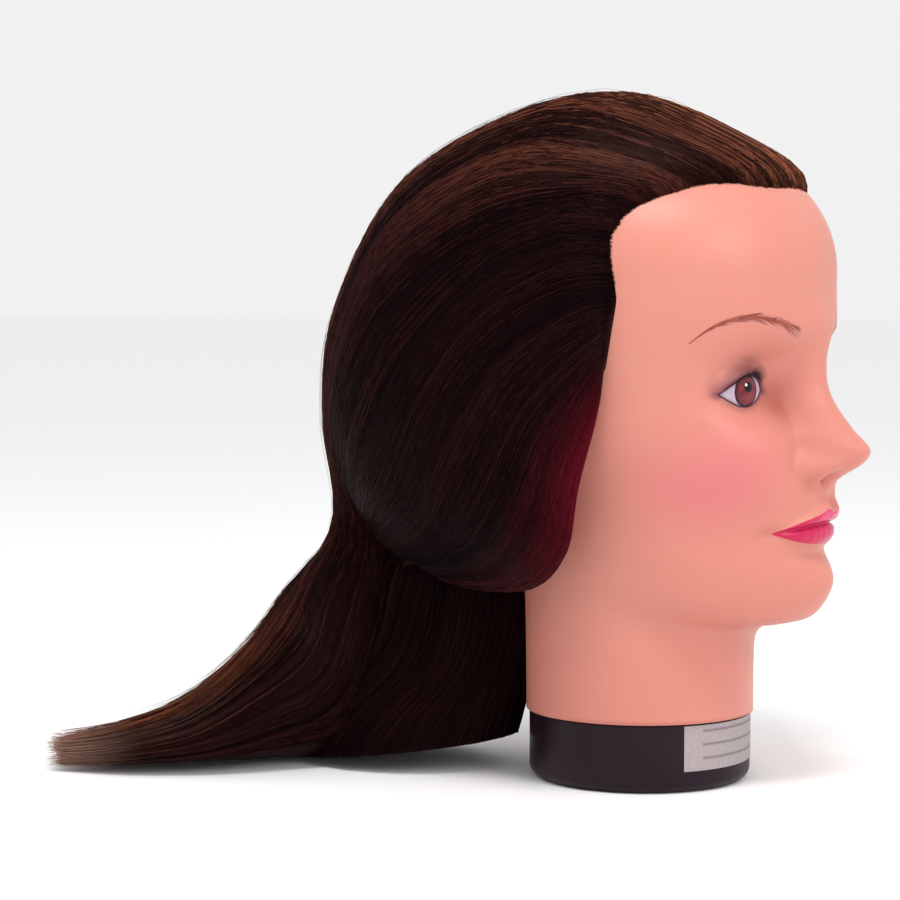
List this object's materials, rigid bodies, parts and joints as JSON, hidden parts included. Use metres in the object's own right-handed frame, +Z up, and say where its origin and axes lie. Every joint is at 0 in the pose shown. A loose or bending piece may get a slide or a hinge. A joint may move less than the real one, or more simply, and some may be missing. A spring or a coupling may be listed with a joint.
{
  "type": "mannequin training head",
  "caption": "Soft mannequin training head with painted face, long hair combed back to the table, black neck base and a clamp socket underneath.",
  "frame": {"origin": "centre of the clamp socket's mouth on the underside of the base, at table height", "axes": "+Z up along the socket and the neck, the face looks toward -Y, the head's right side is toward -X"},
  "size_m": [0.2007, 0.3186, 0.277],
  "materials": {
    "base_black": "satin black moulding",
    "plate_black": "matt black moulding",
    "screw_steel": "plated steel",
    "socket_grey": "matt dark grey moulding",
    "foam": "cream rigid foam",
    "skin": "soft satin vinyl with painted lips, blush and brows",
    "scalp": "soft vinyl, tinted dark",
    "adhesive": "cured adhesive",
    "eye_paint": "printed iris under clear gloss",
    "lash": "fine dark fibres",
    "label_paper": "plain off-white paper",
    "hair": "glossy dark brown hair with auburn lights"
  },
  "bodies": {
    "root": {"neck_base": "base_black", "base_plate": "plate_black", "base_screws": "screw_steel", "clamp_socket": "socket_grey", "socket_cap": "plate_black", "foam_core": "foam", "face_skin": "skin", "scalp_cap": "scalp", "root_lock": "adhesive", "eye_print_right": "eye_paint", "eye_print_left": "eye_paint", "eyelash_right": "lash", "eyelash_left": "lash", "label": "label_paper", "hair_front": "hair", "hair_crown": "hair", "hair_side_right": "hair", "hair_side_left": "hair", "hair_back": "hair", "hair_nape": "hair", "hair_tail": "hair"}
  },
  "joints": []
}
